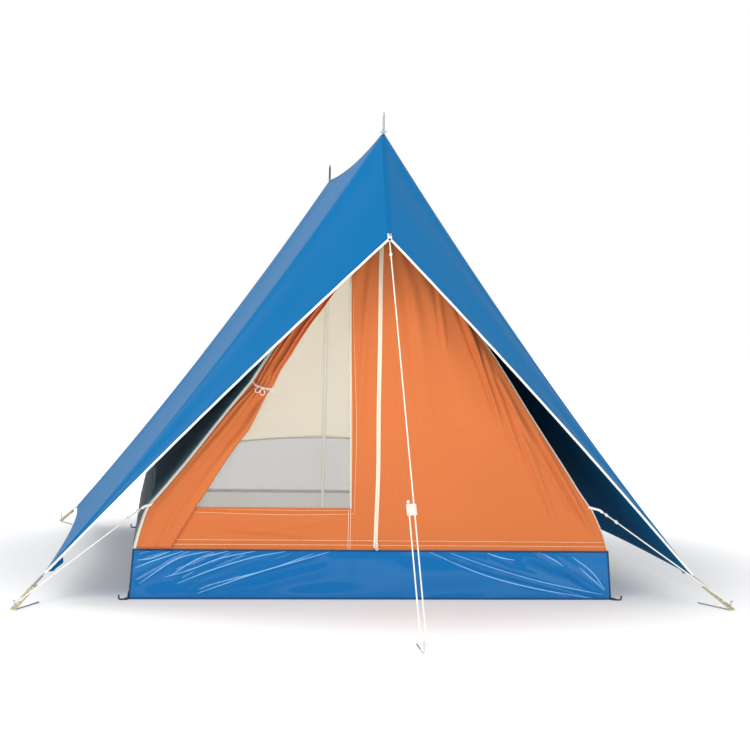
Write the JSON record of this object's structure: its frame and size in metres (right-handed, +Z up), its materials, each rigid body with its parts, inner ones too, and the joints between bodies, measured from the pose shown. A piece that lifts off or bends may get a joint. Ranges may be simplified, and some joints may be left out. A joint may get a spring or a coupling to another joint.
{
  "type": "ridge tent",
  "caption": "Ridge tent with a hooded flysheet on upright poles, a zipped inner tent with a window, a tub groundsheet, corner tensioners, pegs and a front guy line.",
  "frame": {"origin": "on the ground under the middle of the groundsheet", "axes": "+X to the right of someone who faces the doors, -Y out through the doors, +Z up"},
  "size_m": [2.5978, 3.3305, 1.808],
  "materials": {
    "fly_cloth": "matte woven cotton",
    "door_cloth": "matte woven cotton",
    "inner_cloth": "matte woven cotton",
    "net": "fine open net",
    "piping_tape": "woven tape",
    "cord": "braided cord",
    "groundsheet_vinyl": "glossy coated sheet",
    "ladder_rubber": "translucent satin",
    "foot_rubber": "matte",
    "steel_wire": "plated wire",
    "dark_wire": "dark wire",
    "pole_metal": "drawn tube",
    "white_plastic": "satin"
  },
  "bodies": {
    "root": {"groundsheet_tub": "groundsheet_vinyl", "front_pole_foot": "foot_rubber", "front_pole_lower": "pole_metal", "front_pole_upper": "pole_metal", "rear_pole_foot": "foot_rubber", "rear_pole_lower": "pole_metal", "rear_pole_upper": "pole_metal", "inner_roof_left": "inner_cloth", "inner_wall_left": "inner_cloth", "inner_roof_right": "inner_cloth", "inner_wall_right": "inner_cloth", "front_binding_left": "inner_cloth", "front_binding_right": "inner_cloth", "front_peak_patch": "door_cloth", "rear_wall": "inner_cloth", "rear_window_mesh": "net", "hood_front_left": "fly_cloth", "hood_front_right": "fly_cloth", "hood_rear_left": "fly_cloth", "hood_rear_right": "fly_cloth", "fly_roof_left": "fly_cloth", "fly_roof_right": "fly_cloth", "piping_front_left": "piping_tape", "piping_front_right": "piping_tape", "corner_patch_front_left": "fly_cloth", "corner_hook_front_left": "steel_wire", "tensioner_front_left": "ladder_rubber", "corner_peg_front_left": "steel_wire", "corner_patch_front_right": "fly_cloth", "corner_hook_front_right": "steel_wire", "tensioner_front_right": "ladder_rubber", "corner_peg_front_right": "steel_wire", "corner_patch_rear_left": "fly_cloth", "corner_hook_rear_left": "steel_wire", "tensioner_rear_left": "ladder_rubber", "corner_peg_rear_left": "steel_wire", "corner_patch_rear_right": "fly_cloth", "corner_hook_rear_right": "steel_wire", "tensioner_rear_right": "ladder_rubber", "corner_peg_rear_right": "steel_wire", "tub_peg_front_left": "dark_wire", "tub_peg_front_right": "dark_wire", "tub_peg_rear_left": "dark_wire", "tub_peg_rear_right": "dark_wire", "hood_ring_front": "white_plastic", "hood_ring_rear": "white_plastic", "guy_line": "cord", "guy_peg": "steel_wire", "pullout_cord_left": "cord", "pullout_cord_right": "cord"},
    "door_left": {"door_left": "door_cloth", "window_mesh": "net", "window_flap": "door_cloth", "flap_tie": "piping_tape", "zip_tape_left": "piping_tape"},
    "door_right": {"door_right": "door_cloth", "zip_tape_right": "piping_tape"},
    "zip_slider": {"zip_slider": "pole_metal"},
    "zip_pull": {"zip_pull": "pole_metal"},
    "guy_runner": {"guy_runner": "white_plastic"}
  },
  "joints": [
    {"name": "door_left_swing", "type": "hinge", "parent": "root", "child": "door_left", "pos_m": [-0.0528, -1.0203, 1.411], "axis": [-0.5907, 0, -0.8069], "range_deg": [0, 60]},
    {"name": "door_right_swing", "type": "hinge", "parent": "root", "child": "door_right", "pos_m": [0.0528, -1.0203, 1.411], "axis": [-0.5907, 0, 0.8069], "range_deg": [0, 60]},
    {"name": "zip_slide", "type": "slide", "parent": "door_right", "child": "zip_slider", "axis": [0, 0, 1], "range_m": [0, 1.12]},
    {"name": "zip_pull_flip", "type": "hinge", "parent": "zip_slider", "child": "zip_pull", "pos_m": [0.0047, -1.0317, 0.2046], "axis": [-1, 0, 0], "range_deg": [0, 150]},
    {"name": "runner_slide", "type": "slide", "parent": "root", "child": "guy_runner", "axis": [-0.0202, 0.5378, 0.8428], "range_m": [-0.3, 0]}
  ]
}
